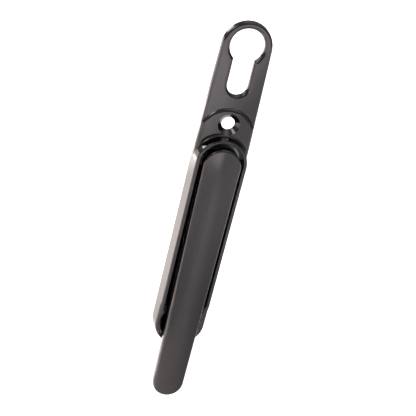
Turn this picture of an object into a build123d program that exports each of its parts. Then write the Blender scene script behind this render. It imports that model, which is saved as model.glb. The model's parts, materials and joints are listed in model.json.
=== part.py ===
from build123d import *
import math
import os

# Folding lever handle for a bi-fold door, in millimetres.
# +Z points up the door, the door face is the plane y = 0, and the front of the handle faces -Y.
# The origin is the spindle axis on the door face. A height is a distance out from the door face.

# Housing, heights
PLATE_H = 3.0
LAND_H = 4.1
RIM_H = 9.5
TRAY_DEPTH = 6.1
LANDING_DROP = 1.4
LANDING_FALL = 1.2
DISH_DEPTH = 2.5
WALL_DRAFT = 7.0
RECESS_DRAFT = 2.0

# Housing, plan
BODY_HALF_W = 14.2
NOSE_INSET = 1.6
NOSE_Z = 57.9
FLARE_Z = 7.0
FLARE_BLEND_R = 250.0
END_Z = -95.9
LAND_TOP_Z = 27.9
LAND_ARC_OVER = 0.6
LAND_CORNER_R = 4.0
TRAY_HEAD_Z = -0.6
RIM_W = 2.08
RIM_DROP_Z = -82.5
RIM_DROP_R = 4.0
LANDING_Z = -88.0
RAMP_FOOT_Z = -77.5
DISH_RIM_W = 1.0

# Housing, edges; a share is of the front ring's width round the cut-out
PLATE_EDGE_SHARE = 0.32
LAND_EDGE_R = 2.2
RIM_EDGE_R = 0.7
RIM_BEVEL = 0.35
RIM_BEVEL_ANGLE = 45.0
COVE = 0.8
COVE_DIP = 0.35

# Cylinder cut-out and fixing holes
CYLINDER_Z = 58.4
CYLINDER_D = 17.0
CYLINDER_SLOT_W = 10.5
CYLINDER_CUT_LENGTH = 33.2
CYLINDER_EDGE_SHARE = 0.4
FIXING_Z = 19.1
FIXING_PITCH = 85.0
FIXING_D = 6.6
FIXING_SINK_D = 11.0
FIXING_SINK_ANGLE = 90.0

# Hollow back
BACK_WALL = 2.2
PLATE_SKIN = 2.0
LAND_SKIN = 3.0
TRAY_SKIN = 2.0
END_SKIN = 2.0
CYLINDER_BOSS_WALL = 1.8
FIXING_BOSS_D = 15.0
BACK_RIB_W = 2.0
TRAY_RIB_COUNT = 2

# Rotor and its bearing
SPINDLE_SQUARE = 8.0
SPINDLE_CLEARANCE = 0.05
SOCKET_ROOF_T = 0.9
ROTOR_BACK_H = 0.3
JOURNAL_R = 7.0
FLANGE_GAP = 1.1
FLANGE_T = 1.0
BUSH_WALL = 1.0
BUSH_FLANGE_T = 0.5
RUNNING_CLEARANCE = 0.05
SEAT_CLEARANCE = 0.03
CIRCLIP_POCKET_H = 2.0
CIRCLIP_POCKET_R = 9.6
BEARING_BOSS_WALL = 2.0
CIRCLIP_T = 1.0
CIRCLIP_W = 1.6
CIRCLIP_GROOVE_DEPTH = 0.5
CIRCLIP_MOUTH_ANGLE = 50.0
WASHER_T = 0.45
WASHER_W = 1.8

# Hinge
HINGE_INSET = 6.05
HINGE_DEPTH = 2.1
PIN_R = 1.5
PIN_END_INSET = 0.6
PIN_CHAMFER = 0.3
LUG_R = 2.45
LUG_ROOT_Z = -5.0
LUG_HEAD_ROOT = 1.2
FOLD_ANGLE = 45.0
HEEL_CLEARANCE = 0.3

# Lever
LEVER_LENGTH = 146.9
LEVER_SIDE_GAP = 1.4
LEVER_HEAD_GAP = 2.2
LEVER_TAIL_R = 8.4
LEVER_HEAD_PROUD = 2.3
LEVER_TAIL_PROUD = 5.1
LEVER_CROWN = 0.6
LEVER_EDGE_R = 1.0
LEVER_UNDER_EDGE_R = 1.2
LEVER_UNDER_BEND_R = 15.0
LEVER_FLANGE_GAP = 0.35
LEVER_TAIL_T = 4.5
LEVER_WALL = 1.5
LEVER_SKIN_T = 1.65
LEVER_RISE_Z = -66.0
LEVER_RISE_END_Z = -83.6
LEVER_REST_DROP = 1.5
LEVER_CORE_END_Z = -60.0
LEVER_RIB_W = 1.8
LEVER_RIB_COUNT = 3

# Return springs and buffer
SPRING_WIRE_D = 0.6
SPRING_MEAN_R = 1.95
SPRING_PITCH = 0.65
SPRING_TURNS = 1.25
SPRING_SIDE_CLEARANCE = 0.4
SPRING_FOOT_LENGTH = 6.0
SPRING_TIP_CLEARANCE = 0.1
BUFFER_END_INSET = 15.8
BUFFER_R = 2.6
BUFFER_SEAT_DEPTH = 0.8
BUFFER_CHAMFER = 0.3
BUFFER_GAP = 0.05

# Cutting and picking: a cut runs CUT_OVER past its face. Points nearer than TINY count as one,
# and a face of the lever counts as its back if it leans less than BACK_FACE_ANGLE from facing +Y.
CUT_OVER = 1.0
TINY = 1e-3
BACK_FACE_ANGLE = 25.0


def height_at(z, z_a, h_a, z_b, h_b):
    """Height at z on the straight line between two points of a side view."""
    return h_a + (h_b - h_a) * (z - z_a) / (z_b - z_a)


def spread(end_z, count):
    """Places that divide the way from the spindle axis to end_z into equal bays."""
    return [(0, end_z * (i + 1) / (count + 1)) for i in range(count)]


# Sizes that follow from those above
wall_slope = math.tan(math.radians(WALL_DRAFT))
recess_slope = math.tan(math.radians(RECESS_DRAFT))
tray_floor_h = RIM_H - TRAY_DEPTH
landing_h = RIM_H - LANDING_DROP
landing_end_h = landing_h - LANDING_FALL
dish_floor_h = landing_h - DISH_DEPTH
dish_r = BODY_HALF_W - landing_h * wall_slope - DISH_RIM_W
dish_sphere_r = (dish_r**2 + DISH_DEPTH**2) / (2 * DISH_DEPTH)
recess_r = BODY_HALF_W - RIM_H * wall_slope - RIM_W
recess_floor_r = recess_r - TRAY_DEPTH * recess_slope
land_arc_r = BODY_HALF_W + LAND_ARC_OVER
nose_ring_w = BODY_HALF_W - NOSE_INSET - PLATE_H * wall_slope - CYLINDER_D / 2
body_end_z = END_Z - BODY_HALF_W
lower_fixing_z = FIXING_Z - FIXING_PITCH
slot_bottom_z = CYLINDER_Z + CYLINDER_D / 2 - CYLINDER_CUT_LENGTH
cut_reach = LEVER_LENGTH / 2

bush_r = JOURNAL_R + RUNNING_CLEARANCE + BUSH_WALL
bearing_r = bush_r + SEAT_CLEARANCE
bearing_boss_r = CIRCLIP_POCKET_R + BEARING_BOSS_WALL
flange_r = recess_floor_r - FLANGE_GAP
flange_foot_h = tray_floor_h + BUSH_FLANGE_T + RUNNING_CLEARANCE
flange_top_h = flange_foot_h + FLANGE_T
socket_top_h = flange_top_h - SOCKET_ROOF_T
socket_w = SPINDLE_SQUARE + 2 * SPINDLE_CLEARANCE
washer_top_h = CIRCLIP_POCKET_H - RUNNING_CLEARANCE
circlip_top_h = washer_top_h - WASHER_T
circlip_back_h = circlip_top_h - CIRCLIP_T
groove_r = JOURNAL_R - CIRCLIP_GROOVE_DEPTH

lever_head_r = recess_r - LEVER_SIDE_GAP
lever_top_z = recess_r - LEVER_HEAD_GAP
lever_head_z = lever_top_z - lever_head_r
lever_end_z = lever_top_z - LEVER_LENGTH
lever_tail_z = lever_end_z + LEVER_TAIL_R
lever_head_h = RIM_H + LEVER_HEAD_PROUD
lever_tail_h = RIM_H + LEVER_TAIL_PROUD
lever_skin_h = lever_head_h - LEVER_SKIN_T
lever_under_h = flange_top_h + LEVER_FLANGE_GAP
lever_rest_h = RIM_H - LEVER_REST_DROP
lever_end_under_h = lever_tail_h - LEVER_TAIL_T
lever_run = Vector(0, lever_head_h - lever_tail_h, -LEVER_LENGTH)
crown_r = (lever_head_r**2 + LEVER_CROWN**2) / (2 * LEVER_CROWN)

hinge_z = lever_top_z - HINGE_INSET
hinge_h = RIM_H - HINGE_DEPTH
heel_offset = hinge_h - flange_top_h - HEEL_CLEARANCE
heel_turn = math.radians(FOLD_ANGLE)
heel_out = Vector(0, math.cos(heel_turn), math.sin(heel_turn))
heel_along = Vector(0, -math.sin(heel_turn), math.cos(heel_turn))
heel_plane = Plane(Vector(0, -hinge_h, hinge_z) + heel_out * heel_offset, x_dir=heel_along, z_dir=(1, 0, 0))
pin_half_length = math.sqrt(lever_head_r**2 - (hinge_z - lever_head_z) ** 2) - PIN_END_INSET

spring_length = SPRING_PITCH * SPRING_TURNS + SPRING_WIRE_D
spring_reach_z = hinge_z + SPRING_MEAN_R + SPRING_WIRE_D / 2 - lever_head_z
core_half_w = math.sqrt((lever_head_r - LEVER_WALL) ** 2 - spring_reach_z**2)
lug_half_w = core_half_w - spring_length - 2 * SPRING_SIDE_CLEARANCE
spring_x = lug_half_w + SPRING_SIDE_CLEARANCE + SPRING_WIRE_D / 2
spring_tip_length = lever_skin_h - SPRING_TIP_CLEARANCE - hinge_h

buffer_z = body_end_z + BUFFER_END_INSET
buffer_seat_h = dish_floor_h - BUFFER_SEAT_DEPTH
buffer_upper_z = buffer_z + BUFFER_R
lever_over_buffer_h = height_at(
    buffer_upper_z, LEVER_RISE_END_Z, lever_rest_h, lever_end_z, lever_end_under_h
)
buffer_top_h = lever_over_buffer_h - BUFFER_GAP


def backplate_outline(inset=0.0):
    """Round nose, sides that flare out to the full width, and a round lower end."""
    half_w = BODY_HALF_W - inset
    nose_r = half_w - NOSE_INSET
    reach = math.hypot(half_w, NOSE_Z - FLARE_Z)
    lean = math.acos(nose_r / reach) - math.atan2(NOSE_Z - FLARE_Z, half_w)
    nose_x = nose_r * math.cos(lean)
    nose_side_z = NOSE_Z + nose_r * math.sin(lean)
    with BuildLine() as edge:
        ThreePointArc((-nose_x, nose_side_z), (0, NOSE_Z + nose_r), (nose_x, nose_side_z))
        Polyline((nose_x, nose_side_z), (half_w, FLARE_Z), (half_w, END_Z))
        ThreePointArc((half_w, END_Z), (0, END_Z - half_w), (-half_w, END_Z))
        Polyline((-half_w, END_Z), (-half_w, FLARE_Z), (-nose_x, nose_side_z))
    make_face(edge.edges())
    flare_corners = [v for v in vertices() if abs(v.Y - FLARE_Z) < TINY]
    fillet(flare_corners, FLARE_BLEND_R)


def round_ended_bar(top_z, top_r, end_z, end_r, mode=Mode.ADD):
    """Two round ends on the centre line, joined by their outer tangents."""
    lean = (end_r - top_r) / (top_z - end_z)
    across = math.sqrt(1 - lean**2)
    top = (top_r * across, top_z + top_r * lean)
    end = (end_r * across, end_z + end_r * lean)
    with BuildLine() as edge:
        ThreePointArc((-top[0], top[1]), (0, top_z + top_r), top)
        Line(top, end)
        ThreePointArc(end, (0, end_z - end_r), (-end[0], end[1]))
        Line((-end[0], end[1]), (-top[0], top[1]))
    make_face(edge.edges(), mode=mode)


def cylinder_cutout(wall=0.0, mode=Mode.ADD):
    """Euro-profile outline: a circle with a round-ended slot below it, grown by a wall."""
    slot_r = CYLINDER_SLOT_W / 2
    with Locations((0, CYLINDER_Z)):
        Circle(CYLINDER_D / 2 + wall, mode=mode)
    round_ended_bar(CYLINDER_Z, slot_r + wall, slot_bottom_z + slot_r, slot_r + wall, mode)


def band(low_z, high_z, mode=Mode.INTERSECT):
    """A strip across the body between two heights on the door."""
    with Locations((0, (low_z + high_z) / 2)):
        Rectangle(cut_reach, high_z - low_z, mode=mode)


# Housing: three drafted layers, each with its own rounded front edge
with BuildPart() as plate_layer:
    with BuildSketch(Plane.XZ):
        backplate_outline()
    extrude(amount=PLATE_H, taper=WALL_DRAFT)
    fillet(faces().sort_by(Axis.Y)[0].edges(), nose_ring_w * PLATE_EDGE_SHARE)
    # Cylinder cut-out with a rounded front edge
    with BuildSketch(Plane.XZ):
        cylinder_cutout()
    extrude(amount=PLATE_H, mode=Mode.SUBTRACT)
    fillet(faces().sort_by(Axis.Y)[0].inner_wires()[0].edges(), nose_ring_w * CYLINDER_EDGE_SHARE)

with BuildPart() as land_layer:
    with BuildSketch(Plane.XZ):
        backplate_outline()
        with BuildSketch(mode=Mode.PRIVATE) as land_window:
            with Locations((0, LAND_TOP_Z - land_arc_r)):
                Circle(land_arc_r)
            band(lower_fixing_z, LAND_TOP_Z - land_arc_r, mode=Mode.ADD)
        add(land_window.sketch, mode=Mode.INTERSECT)
        arc_ends = vertices().group_by(Axis.Y)[-1]
        fillet(arc_ends, LAND_CORNER_R)
    extrude(amount=LAND_H, taper=WALL_DRAFT)
    fillet(faces().sort_by(Axis.Y)[0].edges(), LAND_EDGE_R)

with BuildPart() as finger_scoop:
    with BuildSketch(Plane.YZ):
        with BuildLine():
            landing_top = (-landing_h, LANDING_Z)
            landing_end = (-landing_end_h, body_end_z - CUT_OVER)
            drop_top = (-RIM_H, RIM_DROP_Z)
            Polyline(drop_top, (-cut_reach, RIM_DROP_Z), (-cut_reach, landing_end[1]), landing_end)
            landing = Line(landing_end, landing_top)
            TangentArc(landing_top, drop_top, tangent=landing % 1)
        make_face()
    extrude(amount=cut_reach, both=True)

with BuildPart() as tray_layer:
    with BuildSketch(Plane.XZ):
        round_ended_bar(TRAY_HEAD_Z, BODY_HALF_W, END_Z, BODY_HALF_W)
    extrude(amount=RIM_H, taper=WALL_DRAFT)
    add(finger_scoop.part, mode=Mode.SUBTRACT)
    fillet(edges().filter_by(Axis.X).sort_by(Axis.Y)[0], RIM_DROP_R)
    along_rim = edges().filter_by(Axis.X, reverse=True)
    front_edges = along_rim.filter_by(lambda e: e.bounding_box().max.Y < -LAND_H)
    fillet(front_edges, RIM_EDGE_R)

# Cove that eases the land up into the tray's round upper end
with BuildPart() as rim_cove:
    with BuildSketch(Plane.XY.offset(TRAY_HEAD_Z)):
        with BuildLine():
            foot_r = BODY_HALF_W - LAND_H * wall_slope
            cove_foot = (foot_r + COVE, -LAND_H)
            cove_top = (foot_r - COVE * wall_slope, -LAND_H - COVE)
            cove_dip = (foot_r + COVE_DIP * COVE, -LAND_H - COVE_DIP * COVE)
            ThreePointArc(cove_foot, cove_dip, cove_top)
            Polyline(cove_top, (recess_r, cove_top[1]), (recess_r, -PLATE_H))
            Polyline((recess_r, -PLATE_H), (cove_foot[0], -PLATE_H), cove_foot)
        make_face()
    revolve(axis=Axis((0, 0, TRAY_HEAD_Z), (0, -1, 0)), revolution_arc=180)
    with BuildSketch(Plane.XZ):
        backplate_outline(LAND_EDGE_R)
    extrude(amount=RIM_H, mode=Mode.INTERSECT)

with BuildPart() as tray_recess:
    with BuildSketch(Plane.XZ.offset(tray_floor_h)):
        round_ended_bar(0, recess_floor_r, END_Z, recess_floor_r)
    extrude(amount=RIM_H - tray_floor_h + CUT_OVER, taper=-RECESS_DRAFT)
    with BuildSketch(Plane.YZ):
        with BuildLine():
            ramp_foot = (-tray_floor_h, RAMP_FOOT_Z)
            ramp_top = (-landing_h - CUT_OVER / 2, LANDING_Z - CUT_OVER)
            TangentArc(ramp_foot, ramp_top, tangent=(0, -1))
            Polyline(ramp_top, (-cut_reach, ramp_top[1]), (-cut_reach, BODY_HALF_W))
            Polyline((-cut_reach, BODY_HALF_W), (-tray_floor_h, BODY_HALF_W), ramp_foot)
        make_face()
    extrude(amount=cut_reach, both=True, mode=Mode.INTERSECT)

with BuildPart() as rim_bevel:
    with BuildSketch(Plane.XZ.offset(RIM_H - RIM_BEVEL)):
        bevel_foot_r = recess_r - RIM_BEVEL * recess_slope
        round_ended_bar(0, bevel_foot_r, END_Z, bevel_foot_r)
    extrude(amount=RIM_BEVEL + CUT_OVER, taper=-RIM_BEVEL_ANGLE)

with BuildPart() as housing:
    add(plate_layer.part)
    add(land_layer.part)
    add(tray_layer.part)
    add(rim_cove.part)
    add(tray_recess.part, mode=Mode.SUBTRACT)
    add(rim_bevel.part, mode=Mode.SUBTRACT)

    # Shallow round dish behind the lever, for a fingertip
    with Locations((0, -dish_floor_h - dish_sphere_r, END_Z)):
        Sphere(dish_sphere_r, mode=Mode.SUBTRACT)

    # Countersunk fixing holes: one on the land, one in the tray floor under the lever
    with Locations(Plane.XZ.offset(LAND_H).shift_origin((0, -LAND_H, FIXING_Z))):
        CounterSinkHole(FIXING_D / 2, FIXING_SINK_D / 2, counter_sink_angle=FIXING_SINK_ANGLE)
    with Locations(Plane.XZ.offset(tray_floor_h).shift_origin((0, -tray_floor_h, lower_fixing_z))):
        CounterSinkHole(FIXING_D / 2, FIXING_SINK_D / 2, counter_sink_angle=FIXING_SINK_ANGLE)

    # Rotor bearing and the pocket behind it
    with BuildSketch(Plane.XZ):
        Circle(bearing_r)
    extrude(amount=RIM_H, mode=Mode.SUBTRACT)
    with BuildSketch(Plane.XZ):
        Circle(CIRCLIP_POCKET_R)
    extrude(amount=CIRCLIP_POCKET_H, mode=Mode.SUBTRACT)

    # Seat for the buffer
    with BuildSketch(Plane.XZ.offset(buffer_seat_h)):
        with Locations((0, buffer_z)):
            Circle(BUFFER_R + SEAT_CLEARANCE)
    extrude(amount=RIM_H, mode=Mode.SUBTRACT)

    # Hollow back, with walls left round the edge, the holes and the bearing
    with BuildSketch(Plane.XZ):
        backplate_outline(BACK_WALL)
        band(LAND_TOP_Z, NOSE_Z)
        cylinder_cutout(CYLINDER_BOSS_WALL, mode=Mode.SUBTRACT)
    extrude(amount=PLATE_H - PLATE_SKIN, mode=Mode.SUBTRACT)
    with BuildSketch(Plane.XZ):
        backplate_outline(BACK_WALL)
        band(bearing_boss_r + BACK_RIB_W, LAND_TOP_Z - BACK_RIB_W)
    extrude(amount=LAND_H - LAND_SKIN, mode=Mode.SUBTRACT)
    with BuildSketch(Plane.XZ):
        backplate_outline(BACK_WALL)
        band(RAMP_FOOT_Z, -bearing_boss_r - BACK_RIB_W)
        with Locations((0, lower_fixing_z)):
            Circle(FIXING_BOSS_D / 2, mode=Mode.SUBTRACT)
        with Locations(*spread(RAMP_FOOT_Z, TRAY_RIB_COUNT)):
            Rectangle(cut_reach, BACK_RIB_W, mode=Mode.SUBTRACT)
    extrude(amount=tray_floor_h - TRAY_SKIN, mode=Mode.SUBTRACT)
    with BuildSketch(Plane.XZ):
        backplate_outline(BACK_WALL)
        band(body_end_z, LANDING_Z)
    extrude(amount=dish_floor_h - END_SKIN, mode=Mode.SUBTRACT)

with BuildPart() as rotor_bush:
    with BuildSketch(Plane.XZ.offset(CIRCLIP_POCKET_H)):
        Circle(bush_r)
    extrude(amount=tray_floor_h - CIRCLIP_POCKET_H)
    with BuildSketch(Plane.XZ.offset(tray_floor_h)):
        Circle(flange_r)
    extrude(amount=BUSH_FLANGE_T)
    with BuildSketch(Plane.XZ):
        Circle(JOURNAL_R + RUNNING_CLEARANCE)
    extrude(amount=RIM_H, mode=Mode.SUBTRACT)

with BuildPart() as rotor:
    with BuildSketch(Plane.XZ.offset(ROTOR_BACK_H)):
        Circle(JOURNAL_R)
    extrude(amount=flange_top_h - ROTOR_BACK_H)
    with BuildSketch(Plane.XZ.offset(flange_foot_h)):
        Circle(flange_r)
    extrude(amount=FLANGE_T)
    with BuildSketch(Plane.YZ):
        with BuildLine():
            lug_root_h = flange_top_h - FLANGE_T / 2
            CenterArc((-hinge_h, hinge_z), LUG_R, 0, 360)
            Line((-lug_root_h, LUG_ROOT_Z), (-lug_root_h, hinge_z + LUG_HEAD_ROOT))
        make_hull()
    extrude(amount=lug_half_w, both=True)
    with BuildSketch(Plane.YZ):
        with Locations((-hinge_h, hinge_z)):
            Circle(PIN_R + RUNNING_CLEARANCE)
    extrude(amount=lug_half_w, both=True, mode=Mode.SUBTRACT)
    with BuildSketch(Plane.XZ.offset(circlip_back_h)):
        Circle(JOURNAL_R + CUT_OVER)
        Circle(groove_r, mode=Mode.SUBTRACT)
    extrude(amount=CIRCLIP_T, mode=Mode.SUBTRACT)
    with BuildSketch(Plane.XZ):
        Rectangle(socket_w, socket_w)
    extrude(amount=socket_top_h, mode=Mode.SUBTRACT)

with BuildPart() as wave_washer:
    with BuildSketch(Plane.XZ.offset(circlip_top_h)):
        Circle(JOURNAL_R + RUNNING_CLEARANCE + WASHER_W)
        Circle(JOURNAL_R + RUNNING_CLEARANCE, mode=Mode.SUBTRACT)
    extrude(amount=WASHER_T)

with BuildPart() as circlip:
    with BuildSketch(Plane.XZ.offset(circlip_back_h)):
        Circle(groove_r + SEAT_CLEARANCE + CIRCLIP_W)
        Circle(groove_r + SEAT_CLEARANCE, mode=Mode.SUBTRACT)
        with BuildLine():
            mouth_w = cut_reach * math.tan(math.radians(CIRCLIP_MOUTH_ANGLE / 2))
            Polyline((0, 0), (mouth_w, -cut_reach), (-mouth_w, -cut_reach), close=True)
        make_face(mode=Mode.SUBTRACT)
    extrude(amount=CIRCLIP_T)

with BuildPart() as lever:
    with BuildSketch(Plane.XZ):
        round_ended_bar(lever_head_z, lever_head_r, lever_tail_z, LEVER_TAIL_R)
    extrude(amount=cut_reach)
    # Crowned front that rises a little towards the tail
    with BuildSketch(Plane((0, -lever_head_h, lever_top_z), x_dir=(1, 0, 0), z_dir=lever_run)):
        with Locations((0, LEVER_CROWN - crown_r)):
            Circle(crown_r)
    extrude(amount=LEVER_LENGTH + cut_reach, both=True, mode=Mode.INTERSECT)
    # Back of the lever: flat in the tray, lifted over the landing, thin at the tail
    with BuildSketch(Plane.YZ):
        with BuildLine():
            Polyline(
                (-lever_under_h, BODY_HALF_W),
                (-lever_under_h, LEVER_RISE_Z),
                (-lever_rest_h, LEVER_RISE_END_Z),
                (-lever_end_under_h, lever_end_z - CUT_OVER),
                (RIM_H, lever_end_z - CUT_OVER),
                (RIM_H, BODY_HALF_W),
                close=True,
            )
        make_face()
        bends = [v for v in vertices() if min(abs(v.Y - LEVER_RISE_Z), abs(v.Y - LEVER_RISE_END_Z)) < TINY]
        fillet(bends, LEVER_UNDER_BEND_R)
    extrude(amount=cut_reach, both=True, mode=Mode.SUBTRACT)
    fillet(faces().sort_by(Axis.Y)[0].edges(), LEVER_EDGE_R)
    back_lean = math.cos(math.radians(BACK_FACE_ANGLE))
    back_faces = faces().filter_by(lambda f: f.normal_at().Y > back_lean)
    fillet(back_faces.edges().filter_by(Axis.X, reverse=True), LEVER_UNDER_EDGE_R)
    # Heel: the underside of the head is cut back so that it lies along the rotor when folded out
    with BuildSketch(heel_plane):
        with Locations((0, -cut_reach / 2)):
            Rectangle(LEVER_LENGTH, cut_reach)
    extrude(amount=cut_reach, both=True, mode=Mode.SUBTRACT)
    # Cored back, with cross ribs
    with BuildSketch(Plane.XZ):
        round_ended_bar(lever_head_z, lever_head_r - LEVER_WALL, lever_tail_z, LEVER_TAIL_R - LEVER_WALL)
        band(LEVER_CORE_END_Z, BODY_HALF_W)
        with Locations(*spread(LEVER_CORE_END_Z, LEVER_RIB_COUNT)):
            Rectangle(cut_reach, LEVER_RIB_W, mode=Mode.SUBTRACT)
    extrude(amount=lever_skin_h, mode=Mode.SUBTRACT)
    with BuildSketch(Plane.YZ):
        with Locations((-hinge_h, hinge_z)):
            Circle(PIN_R + SEAT_CLEARANCE)
    extrude(amount=cut_reach, both=True, mode=Mode.SUBTRACT)

with BuildPart() as hinge_pin:
    with BuildSketch(Plane.YZ):
        with Locations((-hinge_h, hinge_z)):
            Circle(PIN_R)
    extrude(amount=pin_half_length, both=True)
    chamfer(edges().filter_by(GeomType.CIRCLE), PIN_CHAMFER)

with BuildPart() as return_spring_right:
    with BuildLine() as spring_path:
        coil = Helix(
            SPRING_PITCH,
            SPRING_PITCH * SPRING_TURNS,
            SPRING_MEAN_R,
            center=(spring_x, -hinge_h, hinge_z),
            direction=(1, 0, 0),
            mode=Mode.PRIVATE,
        ).rotate(Axis((0, -hinge_h, hinge_z), (1, 0, 0)), -90)
        add(coil)
        Line(coil @ 0 - coil % 0 * SPRING_FOOT_LENGTH, coil @ 0)
        Line(coil @ 1, coil @ 1 + coil % 1 * spring_tip_length)
    with BuildSketch(Plane(coil @ 0 - coil % 0 * SPRING_FOOT_LENGTH, z_dir=coil % 0)):
        Circle(SPRING_WIRE_D / 2)
    sweep(path=Wire(spring_path.edges()))

with BuildPart() as return_spring_left:
    mirror(return_spring_right.part, about=Plane.YZ)

with BuildPart() as lever_buffer:
    with BuildSketch(Plane.XZ.offset(buffer_seat_h)):
        with Locations((0, buffer_z)):
            Circle(BUFFER_R)
    extrude(amount=buffer_top_h - buffer_seat_h)
    chamfer(edges().sort_by(Axis.Y)[0], BUFFER_CHAMFER)

if __name__ == "__main__":
    os.makedirs("parts", exist_ok=True)
    pieces = {
        "housing": housing,
        "rotor_bush": rotor_bush,
        "rotor": rotor,
        "wave_washer": wave_washer,
        "circlip": circlip,
        "lever": lever,
        "hinge_pin": hinge_pin,
        "return_spring_left": return_spring_left,
        "return_spring_right": return_spring_right,
        "lever_buffer": lever_buffer,
    }
    for name, piece in pieces.items():
        piece.part.label = name
        export_step(piece.part, f"parts/{name}.step")
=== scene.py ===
"""Dresses the folding lever door handle: finishes for its pieces, a studio and a camera."""

import json
import logging
import math
from dataclasses import dataclass
from enum import Enum
from typing import Any

import bmesh
import bpy
from mathutils import Matrix, Quaternion, Vector

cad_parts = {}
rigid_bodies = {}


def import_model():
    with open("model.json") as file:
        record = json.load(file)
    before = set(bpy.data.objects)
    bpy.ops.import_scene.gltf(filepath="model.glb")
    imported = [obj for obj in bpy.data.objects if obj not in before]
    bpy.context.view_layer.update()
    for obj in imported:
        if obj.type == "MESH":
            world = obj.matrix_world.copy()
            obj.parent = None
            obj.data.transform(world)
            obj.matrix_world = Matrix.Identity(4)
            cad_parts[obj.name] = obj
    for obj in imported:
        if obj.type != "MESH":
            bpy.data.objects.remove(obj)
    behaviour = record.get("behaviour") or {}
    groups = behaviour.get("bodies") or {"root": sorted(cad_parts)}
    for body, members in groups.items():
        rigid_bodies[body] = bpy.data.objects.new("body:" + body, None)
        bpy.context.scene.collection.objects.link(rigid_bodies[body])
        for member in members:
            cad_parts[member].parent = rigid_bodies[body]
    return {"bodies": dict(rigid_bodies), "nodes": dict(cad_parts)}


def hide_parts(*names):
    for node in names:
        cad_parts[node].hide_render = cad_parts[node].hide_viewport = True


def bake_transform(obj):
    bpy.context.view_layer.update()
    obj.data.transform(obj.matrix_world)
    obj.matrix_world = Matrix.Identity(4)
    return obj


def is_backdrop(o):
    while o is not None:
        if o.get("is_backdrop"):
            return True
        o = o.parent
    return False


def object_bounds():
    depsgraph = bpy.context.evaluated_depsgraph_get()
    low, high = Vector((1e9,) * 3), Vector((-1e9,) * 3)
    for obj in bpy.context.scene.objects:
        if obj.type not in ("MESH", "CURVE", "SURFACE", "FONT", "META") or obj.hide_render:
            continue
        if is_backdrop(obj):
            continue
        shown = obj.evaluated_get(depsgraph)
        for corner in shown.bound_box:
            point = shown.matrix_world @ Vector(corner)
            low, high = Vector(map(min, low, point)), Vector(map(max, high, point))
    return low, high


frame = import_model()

log = logging.getLogger("handle")

Point = tuple[float, float, float]
Span = tuple[float, float]

MM = 0.001
ORIGIN: Point = (0.0, 0.0, 0.0)
DOWN: Point = (0.0, 0.0, -1.0)
SPINDLE_AXIS = "Y"

# The sRGB curve is a straight line up to its knee and a power above it.
SRGB_KNEE = 0.04045
SRGB_SLOPE = 12.92
SRGB_OFFSET = 0.055
SRGB_GAMMA = 2.4

# Blender's wave texture turns through 20 radians in one unit of its scale.
WAVES_PER_UNIT = 20 / math.tau


class Body(Enum):
    """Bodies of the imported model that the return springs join."""

    ROTOR = "rotor"
    LEVER = "lever"


def linear(hex_colour: str) -> tuple[float, float, float, float]:
    """Turns an sRGB hex colour into linear RGBA.

    Args:
        hex_colour: Six hex digits, with or without a leading hash.

    Returns:
        The linear colour with full alpha.
    """
    digits = hex_colour.lstrip("#")
    coded = [int(digits[i : i + 2], 16) / 255 for i in (0, 2, 4)]
    red, green, blue = (
        c / SRGB_SLOPE if c <= SRGB_KNEE else ((c + SRGB_OFFSET) / (1 + SRGB_OFFSET)) ** SRGB_GAMMA
        for c in coded
    )
    return (red, green, blue, 1.0)


def add_node(
    tree: bpy.types.NodeTree,
    kind: str,
    settings: dict[str, Any] | None = None,
    links: dict[str, bpy.types.NodeSocket] | None = None,
) -> bpy.types.Node:
    """Adds one shader node.

    Args:
        tree: The node tree that gets the node.
        kind: Blender's type name for the node.
        settings: Values by name: an input socket's default, or else a property of the node.
        links: Sockets that feed the node's inputs, by input name.

    Returns:
        The new node.
    """
    node = tree.nodes.new(kind)
    for name, value in (settings or {}).items():
        if name in node.inputs:
            node.inputs[name].default_value = value
        else:
            setattr(node, name, value)
    for name, socket in (links or {}).items():
        tree.links.new(socket, node.inputs[name])
    return node


def per_metre(size_mm: float) -> float:
    """Texture scale, in repeats per metre, for a feature of the given size in millimetres."""
    return 1 / (size_mm * MM)


def blank_material(name: str) -> tuple[bpy.types.Material, bpy.types.NodeTree]:
    """Makes a material with an empty node tree.

    Args:
        name: The material's name.

    Returns:
        The material and its node tree.
    """
    material = bpy.data.materials.new(name)
    material.use_nodes = True
    material.node_tree.nodes.clear()
    return material, material.node_tree


def dress(obj: bpy.types.Object, material: bpy.types.Material) -> None:
    """Puts one material on every slot of an object.

    Args:
        obj: The object to dress.
        material: The finish that it gets.
    """
    if not obj.material_slots:
        obj.data.materials.append(material)
    for slot in obj.material_slots:
        slot.material = material


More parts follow.
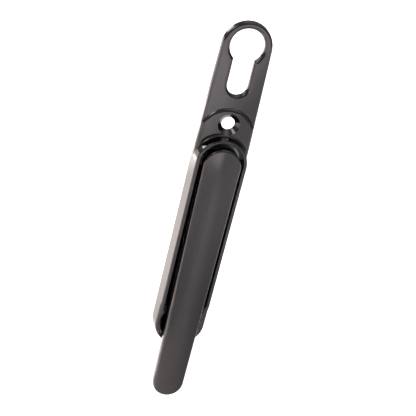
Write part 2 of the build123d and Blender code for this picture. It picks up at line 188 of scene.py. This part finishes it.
@dataclass(frozen=True)
class SmokedChrome:
    """Black-nickel chrome on die-cast zinc, polished in front and left as cast behind."""

    # The thin dark plating gives the eye a warm grey mirror with slightly soft reflections. Behind, the
    # cast skin is dull and grainy, with darker streaks where the metal flowed along the die.
    name: str = "smoked_chrome_on_zinc"
    colour: str = "#484546"
    flow_colour: str = "#393738"
    bright_roughness: float = 0.06
    haze_roughness: float = 0.09
    cast_roughness: float = 0.42
    # The Y of a face's normal over which the polish gives way to the cast skin.
    back_span: Span = (0.35, 0.75)
    haze_mm: float = 6.0
    haze_detail: float = 3.0
    haze_span: Span = (0.3, 0.7)
    ripple_mm: float = 9.0
    ripple_detail: float = 1.0
    ripple_height_mm: float = 0.002
    # A real cast skin is finer than this grain, which is drawn coarse enough to show.
    cast_grain_mm: float = 0.5
    cast_detail: float = 4.0
    cast_height_mm: float = 0.06
    flow_mm: float = 14.0
    flow_stretch: float = 3.0
    flow_detail: float = 6.0
    flow_distortion: float = 1.5
    flow_span: Span = (0.4, 0.65)

    def add_backness(
        self, tree: bpy.types.NodeTree, normal: bpy.types.NodeSocket
    ) -> bpy.types.NodeSocket:
        """Finds how much of a face is cast skin, from the way it looks.

        Args:
            tree: The material's node tree.
            normal: The face's normal.

        Returns:
            A share from 0 in front to 1 behind.
        """
        facing = add_node(tree, "ShaderNodeSeparateXYZ", links={"Vector": normal})
        share = add_node(
            tree,
            "ShaderNodeMapRange",
            {"From Min": self.back_span[0], "From Max": self.back_span[1]},
            {"Value": facing.outputs["Y"]},
        )
        return share.outputs["Result"]

    def add_roughness(
        self, tree: bpy.types.NodeTree, point: bpy.types.NodeSocket, behind: bpy.types.NodeSocket
    ) -> bpy.types.NodeSocket:
        """Makes the polish with its faint haze, and the dull skin behind.

        Args:
            tree: The material's node tree.
            point: The place on the object.
            behind: The share of cast skin.

        Returns:
            The roughness.
        """
        haze = add_node(
            tree,
            "ShaderNodeTexNoise",
            {"Scale": per_metre(self.haze_mm), "Detail": self.haze_detail},
            {"Vector": point},
        )
        polish = add_node(
            tree,
            "ShaderNodeMapRange",
            {
                "From Min": self.haze_span[0],
                "From Max": self.haze_span[1],
                "To Min": self.bright_roughness,
                "To Max": self.haze_roughness,
            },
            {"Value": haze.outputs["Fac"]},
        )
        roughness = add_node(
            tree,
            "ShaderNodeMix",
            {"data_type": "FLOAT", "B": self.cast_roughness},
            {"Factor": behind, "A": polish.outputs["Result"]},
        )
        return roughness.outputs["Result"]

    def add_relief(
        self, tree: bpy.types.NodeTree, point: bpy.types.NodeSocket, behind: bpy.types.NodeSocket
    ) -> bpy.types.NodeSocket:
        """Makes the polisher's ripple all over, and the cast grain behind.

        Args:
            tree: The material's node tree.
            point: The place on the object.
            behind: The share of cast skin.

        Returns:
            The bumped normal.
        """
        ripple = add_node(
            tree,
            "ShaderNodeTexNoise",
            {"Scale": per_metre(self.ripple_mm), "Detail": self.ripple_detail},
            {"Vector": point},
        )
        grain = add_node(
            tree,
            "ShaderNodeTexNoise",
            {"Scale": per_metre(self.cast_grain_mm), "Detail": self.cast_detail},
            {"Vector": point},
        )
        wave = add_node(
            tree,
            "ShaderNodeBump",
            {"Distance": self.ripple_height_mm * MM},
            {"Height": ripple.outputs["Fac"]},
        )
        skin = add_node(
            tree,
            "ShaderNodeBump",
            {"Distance": self.cast_height_mm * MM},
            {"Height": grain.outputs["Fac"], "Strength": behind, "Normal": wave.outputs["Normal"]},
        )
        return skin.outputs["Normal"]

    def add_tone(
        self, tree: bpy.types.NodeTree, point: bpy.types.NodeSocket, behind: bpy.types.NodeSocket
    ) -> bpy.types.NodeSocket:
        """Makes the plating's colour, with flow streaks along the casting behind.

        Args:
            tree: The material's node tree.
            point: The place on the object.
            behind: The share of cast skin.

        Returns:
            The colour.
        """
        along = add_node(
            tree, "ShaderNodeMapping", {"Scale": (1.0, 1.0, 1 / self.flow_stretch)}, {"Vector": point}
        )
        flow = add_node(
            tree,
            "ShaderNodeTexNoise",
            {
                "Scale": per_metre(self.flow_mm),
                "Detail": self.flow_detail,
                "Distortion": self.flow_distortion,
            },
            {"Vector": along.outputs["Vector"]},
        )
        streaks = add_node(
            tree,
            "ShaderNodeMapRange",
            {"From Min": self.flow_span[0], "From Max": self.flow_span[1]},
            {"Value": flow.outputs["Fac"], "To Max": behind},
        )
        tone = add_node(
            tree,
            "ShaderNodeMix",
            {"data_type": "RGBA", "A": linear(self.colour), "B": linear(self.flow_colour)},
            {"Factor": streaks.outputs["Result"]},
        )
        return tone.outputs["Result"]

    def make(self) -> bpy.types.Material:
        """Builds the plated finish.

        Returns:
            The material.
        """
        material, tree = blank_material(self.name)
        place = add_node(tree, "ShaderNodeTexCoord")
        point = place.outputs["Object"]
        behind = self.add_backness(tree, place.outputs["Normal"])
        shader = add_node(
            tree,
            "ShaderNodeBsdfPrincipled",
            {"Metallic": 1.0},
            {
                "Base Color": self.add_tone(tree, point, behind),
                "Roughness": self.add_roughness(tree, point, behind),
                "Normal": self.add_relief(tree, point, behind),
            },
        )
        add_node(tree, "ShaderNodeOutputMaterial", links={"Surface": shader.outputs["BSDF"]})
        return material


@dataclass(frozen=True)
class TurnedSteel:
    """Machined steel: fine rings left by the tool, under bright zinc or a film of oil."""

    name: str
    colour: str
    roughness: float
    ring_mm: float
    ring_height_mm: float = 0.004
    ring_distortion: float = 0.4
    roughness_swing: float = 0.2

    def make(self) -> bpy.types.Material:
        """Builds the steel, with its tool marks as rings round the spindle's axis.

        Returns:
            The material.
        """
        material, tree = blank_material(self.name)
        place = add_node(tree, "ShaderNodeTexCoord")
        rings = add_node(
            tree,
            "ShaderNodeTexWave",
            {
                "wave_type": "RINGS",
                "rings_direction": SPINDLE_AXIS,
                "Scale": per_metre(self.ring_mm) / WAVES_PER_UNIT,
                "Distortion": self.ring_distortion,
            },
            {"Vector": place.outputs["Object"]},
        )
        dullness = add_node(
            tree,
            "ShaderNodeMapRange",
            {
                "To Min": self.roughness * (1 - self.roughness_swing),
                "To Max": self.roughness * (1 + self.roughness_swing),
            },
            {"Value": rings.outputs["Fac"]},
        )
        marks = add_node(
            tree,
            "ShaderNodeBump",
            {"Distance": self.ring_height_mm * MM},
            {"Height": rings.outputs["Fac"]},
        )
        shader = add_node(
            tree,
            "ShaderNodeBsdfPrincipled",
            {"Base Color": linear(self.colour), "Metallic": 1.0},
            {"Roughness": dullness.outputs["Result"], "Normal": marks.outputs["Normal"]},
        )
        add_node(tree, "ShaderNodeOutputMaterial", links={"Surface": shader.outputs["BSDF"]})
        return material


@dataclass(frozen=True)
class Moulding:
    """A moulded plastic or rubber: one colour with faint flow clouds and a spark-eroded grain."""

    name: str
    colour: str
    cloud_colour: str
    roughness: float
    ior: float
    # A real spark-eroded grain is finer than this one, which is drawn coarse enough to show.
    grain_mm: float
    grain_height_mm: float
    grain_detail: float = 3.0
    cloud_mm: float = 4.0
    cloud_detail: float = 2.0

    def make(self) -> bpy.types.Material:
        """Builds the moulded finish.

        Returns:
            The material.
        """
        material, tree = blank_material(self.name)
        place = add_node(tree, "ShaderNodeTexCoord")
        point = place.outputs["Object"]
        cloud = add_node(
            tree,
            "ShaderNodeTexNoise",
            {"Scale": per_metre(self.cloud_mm), "Detail": self.cloud_detail},
            {"Vector": point},
        )
        colour = add_node(
            tree,
            "ShaderNodeMix",
            {"data_type": "RGBA", "A": linear(self.colour), "B": linear(self.cloud_colour)},
            {"Factor": cloud.outputs["Fac"]},
        )
        grain = add_node(
            tree,
            "ShaderNodeTexNoise",
            {"Scale": per_metre(self.grain_mm), "Detail": self.grain_detail},
            {"Vector": point},
        )
        bumps = add_node(
            tree,
            "ShaderNodeBump",
            {"Distance": self.grain_height_mm * MM},
            {"Height": grain.outputs["Fac"]},
        )
        shader = add_node(
            tree,
            "ShaderNodeBsdfPrincipled",
            {"Roughness": self.roughness, "IOR": self.ior},
            {"Base Color": colour.outputs["Result"], "Normal": bumps.outputs["Normal"]},
        )
        add_node(tree, "ShaderNodeOutputMaterial", links={"Surface": shader.outputs["BSDF"]})
        return material


@dataclass(frozen=True)
class StudioPaper:
    """Matt background paper for the floor."""

    # Uncoated paper gives the eye an almost white ground with no shine. Real pulp is far finer than the
    # clouds of tone here, which are drawn coarse enough to show.
    name: str = "studio_paper"
    colour: str = "#f4f3f1"
    pulp_colour: str = "#efeeec"
    roughness: float = 0.95
    pulp_mm: float = 60.0

    def make(self) -> bpy.types.Material:
        """Builds the paper.

        Returns:
            The material.
        """
        material, tree = blank_material(self.name)
        place = add_node(tree, "ShaderNodeTexCoord")
        pulp = add_node(
            tree,
            "ShaderNodeTexNoise",
            {"Scale": per_metre(self.pulp_mm)},
            {"Vector": place.outputs["Object"]},
        )
        colour = add_node(
            tree,
            "ShaderNodeMix",
            {"data_type": "RGBA", "A": linear(self.colour), "B": linear(self.pulp_colour)},
            {"Factor": pulp.outputs["Fac"]},
        )
        shader = add_node(
            tree,
            "ShaderNodeBsdfPrincipled",
            {"Roughness": self.roughness},
            {"Base Color": colour.outputs["Result"]},
        )
        add_node(tree, "ShaderNodeOutputMaterial", links={"Surface": shader.outputs["BSDF"]})
        return material


# Zinc plate on turned steel gives a cool grey shine, broken by the tool's rings.
ZINC_PLATED_STEEL = TurnedSteel("zinc_plated_steel", colour="#8b8d8d", roughness=0.3, ring_mm=0.157)
# Oiled spring steel is darker and duller, with closer marks.
OILED_SPRING_STEEL = TurnedSteel("oiled_spring_steel", colour="#6d6e73", roughness=0.34, ring_mm=0.0942)
# Natural acetal is a milky, waxy white.
NATURAL_ACETAL = Moulding(
    "natural_acetal",
    colour="#e6e3d8",
    cloud_colour="#dedacd",
    roughness=0.42,
    ior=1.48,
    grain_mm=0.4,
    grain_height_mm=0.01,
)
# Buffer rubber is a matt black that scatters most highlights.
BUFFER_RUBBER = Moulding(
    "buffer_rubber",
    colour="#1d1d1d",
    cloud_colour="#242322",
    roughness=0.75,
    ior=1.52,
    grain_mm=0.25,
    grain_height_mm=0.02,
)


@dataclass
class Castings:
    """The housing and the lever, which share one plated finish."""

    nodes: tuple[str, ...] = ("housing", "lever")
    finish: SmokedChrome = SmokedChrome()

    def dress(self) -> None:
        """Gives both castings the smoked chrome."""
        material = self.finish.make()
        for name in self.nodes:
            dress(frame["nodes"][name], material)
            log.info("dressed %s", name)


@dataclass
class TorsionSpring:
    """One return spring on the hinge pin: its foot stays with the rotor, its tip goes with the lever."""

    node: str
    name: str
    wire: float = 0.6 * MM
    weld: float = 0.002 * MM

    def wind(self, material: bpy.types.Material) -> None:
        """Makes the wound wire as one welded skin.

        Args:
            material: The finish of the wire.
        """
        shape = bmesh.new()
        shape.from_mesh(frame["nodes"][self.node].data)
        bmesh.ops.remove_doubles(shape, verts=shape.verts, dist=self.weld)
        bmesh.ops.recalc_face_normals(shape, faces=shape.faces)
        for face in shape.faces:
            face.smooth = True
        mesh = bpy.data.meshes.new(self.name)
        shape.to_mesh(mesh)
        shape.free()
        spring = bpy.data.objects.new(self.name, mesh)
        bpy.context.scene.collection.objects.link(spring)
        dress(spring, material)
        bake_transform(spring)
        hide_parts(self.node)
        log.info("wound %s", self.name)


@dataclass
class Mechanism:
    """The hidden pieces: rotor and its bearing, hinge pin, return springs and buffer."""

    plated: tuple[str, ...] = ("rotor", "hinge_pin")
    sprung: tuple[str, ...] = ("wave_washer", "circlip")
    bush: str = "rotor_bush"
    buffer: str = "lever_buffer"
    springs: tuple[TorsionSpring, ...] = (
        TorsionSpring("return_spring_left", "torsion_spring_left"),
        TorsionSpring("return_spring_right", "torsion_spring_right"),
    )

    def dress(self) -> None:
        """Gives each hidden piece its finish and winds the return springs."""
        oiled_steel = OILED_SPRING_STEEL.make()
        finishes = [
            (self.plated, ZINC_PLATED_STEEL.make()),
            (self.sprung, oiled_steel),
            ((self.bush,), NATURAL_ACETAL.make()),
            ((self.buffer,), BUFFER_RUBBER.make()),
        ]
        for names, material in finishes:
            for name in names:
                dress(frame["nodes"][name], material)
                log.info("dressed %s", name)
        for spring in self.springs:
            spring.wind(oiled_steel)


@dataclass
class Softbox:
    """A rectangular lamp that looks along a direction, within its spread."""

    name: str
    place: Point
    width: float
    height: float
    watts: float
    spread_deg: float
    colour: str = "#ffffff"
    spin_deg: float = 0.0
    target: Point | None = None

    def build(self) -> None:
        """Adds the lamp to the scene, aimed at its target, or straight down where it has none."""
        data = bpy.data.lights.new(self.name, "AREA")
        data.shape = "RECTANGLE"
        data.size = self.width
        data.size_y = self.height
        data.energy = self.watts
        data.spread = math.radians(self.spread_deg)
        data.color = linear(self.colour)[:3]
        lamp = bpy.data.objects.new(self.name, data)
        lamp.location = self.place
        aim = Vector(self.target) - Vector(self.place) if self.target else Vector(DOWN)
        spin = Quaternion((0, 0, 1), math.radians(self.spin_deg))
        lamp.rotation_euler = (aim.to_track_quat("-Z", "Y") @ spin).to_euler()
        bpy.context.scene.collection.objects.link(lamp)


@dataclass
class Studio:
    """Pale floor, soft lamps, and the camera at the photograph's angle.

    Most lamps light a part of the floor, because that is what the dark plating mirrors.
    """

    paper: StudioPaper = StudioPaper()
    floor_drop: float = 0.12
    floor_radius: float = 6.0
    floor_segments: int = 96
    world_colour: str = "#eef0f6"
    world_strength: float = 0.44
    camera_azimuth_deg: float = -15.7
    camera_elevation_deg: float = 24.0
    camera_roll_deg: float = 14.35
    camera_distance: float = 0.4511
    camera_target: Point = (0.0013, 0.0, -0.02872)
    camera_clip_start: float = 0.01
    focal_px: float = 874.0
    picture_px: float = 416.0
    sensor_mm: float = 36.0
    lamps: tuple[Softbox, ...] = (
        # The floor behind shows in the left walls of the tray, and one part of it in the land's wall.
        Softbox("lamp_back", (0.2, 2.9, 0.42), 9.0, 5.6, 350.0, 50.0, "#fff6ef"),
        Softbox("lamp_far_left", (-0.42, 0.76, 0.1), 0.5, 0.3, 4.2, 30.0),
        # The floor in front shows in the plate and the lever, with a lighter patch in the plate's left.
        Softbox("lamp_front", (0.2, -3.05, 0.5), 9.0, 5.3, 107.0, 40.0),
        Softbox("lamp_patch", (-0.243, -1.782, 0.02), 1.6, 1.6, 12.6, 16.0, spin_deg=23.6),
        # A strip of floor shows as the streak along the lever, and a cool one beside it at its right.
        Softbox("lamp_strip", (0.12, -0.45, 0.35), 0.05, 0.46, 0.041, 12.0, spin_deg=15.4),
        Softbox("lamp_cool", (0.28, -0.42, 0.3), 0.16, 0.75, 0.04, 14.0, "#8fa8ff", spin_deg=15.4),
        # The floor at both sides keeps edges and side views light.
        Softbox("lamp_side", (-2.4, -0.25, 0.5), 4.2, 1.4, 32.0, 40.0, "#fff3e8"),
        Softbox("lamp_right", (2.5, -0.1, 0.5), 4.1, 1.2, 18.0, 40.0, "#eef3ff"),
        # A pool on the floor shows in the left of the lever's tail.
        Softbox(
            "lamp_left", (-0.6, -0.2, 0.1), 0.2, 0.2, 1.05, 22.0, "#fff6ee", target=(-0.195, -0.175, -0.258)
        ),
        # These light the handle itself.
        Softbox("lamp_top", (0.3, -0.4, 0.95), 1.8, 1.2, 0.75, 60.0, "#f2f5ff", target=ORIGIN),
        Softbox("lamp_rim", (-1.1, 1.5, 0.75), 0.8, 0.8, 1.4, 60.0, target=ORIGIN),
        Softbox("lamp_key", (-0.9, -0.5, 0.9), 1.2, 1.2, 0.68, 30.0, target=ORIGIN),
    )

    def build_floor(self, low_z: float) -> None:
        """Lays the floor below the handle.

        Args:
            low_z: The handle's lowest point.
        """
        mesh = bpy.data.meshes.new("floor")
        shape = bmesh.new()
        bmesh.ops.create_circle(
            shape, cap_ends=True, segments=self.floor_segments, radius=self.floor_radius
        )
        bmesh.ops.translate(shape, vec=(0, 0, low_z - self.floor_drop), verts=shape.verts)
        shape.to_mesh(mesh)
        shape.free()
        floor = bpy.data.objects.new("floor", mesh)
        bpy.context.scene.collection.objects.link(floor)
        dress(floor, self.paper.make())
        floor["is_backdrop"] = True

    def build_light(self) -> None:
        """Sets the even room light and the lamps."""
        scene = bpy.context.scene
        world = bpy.data.worlds.new("studio")
        world.use_nodes = True
        sky = world.node_tree.nodes["Background"]
        sky.inputs["Color"].default_value = linear(self.world_colour)
        sky.inputs["Strength"].default_value = self.world_strength
        scene.world = world
        scene.view_settings.view_transform = "Standard"
        for lamp in self.lamps:
            lamp.build()

    def build_camera(self) -> None:
        """Places the camera from its angles about the target and turns it by its roll."""
        azimuth = math.radians(self.camera_azimuth_deg)
        elevation = math.radians(self.camera_elevation_deg)
        roll = math.radians(self.camera_roll_deg)
        flat = math.cos(elevation)
        back = Vector((math.sin(azimuth) * flat, -math.cos(azimuth) * flat, math.sin(elevation)))
        level = Vector((0, 0, 1)).cross(back).normalized()
        turn = Matrix.Rotation(roll, 3, back)
        right = turn @ level
        above = turn @ back.cross(level)
        data = bpy.data.cameras.new("camera")
        data.sensor_width = self.sensor_mm
        data.lens = self.focal_px / self.picture_px * self.sensor_mm
        data.clip_start = self.camera_clip_start
        camera = bpy.data.objects.new("camera", data)
        place = Vector(self.camera_target) + back * self.camera_distance
        turned = Matrix((right, above, back)).transposed().to_4x4()
        camera.matrix_world = Matrix.Translation(place) @ turned
        bpy.context.scene.collection.objects.link(camera)
        bpy.context.scene.camera = camera


def clear_startup_objects() -> None:
    """Removes what Blender's startup file put in the scene."""
    own = set(frame["nodes"].values()) | set(frame["bodies"].values())
    for obj in list(bpy.data.objects):
        if obj not in own:
            bpy.data.objects.remove(obj)


def main() -> None:
    """Builds the sub-assemblies and the studio."""
    logging.basicConfig(level=logging.INFO)
    clear_startup_objects()
    cad_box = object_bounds()
    Castings().dress()
    Mechanism().dress()
    studio = Studio()
    studio.build_floor(cad_box[0].z)
    studio.build_light()
    studio.build_camera()
    log.info("built the studio")


if __name__ == "__main__":
    main()
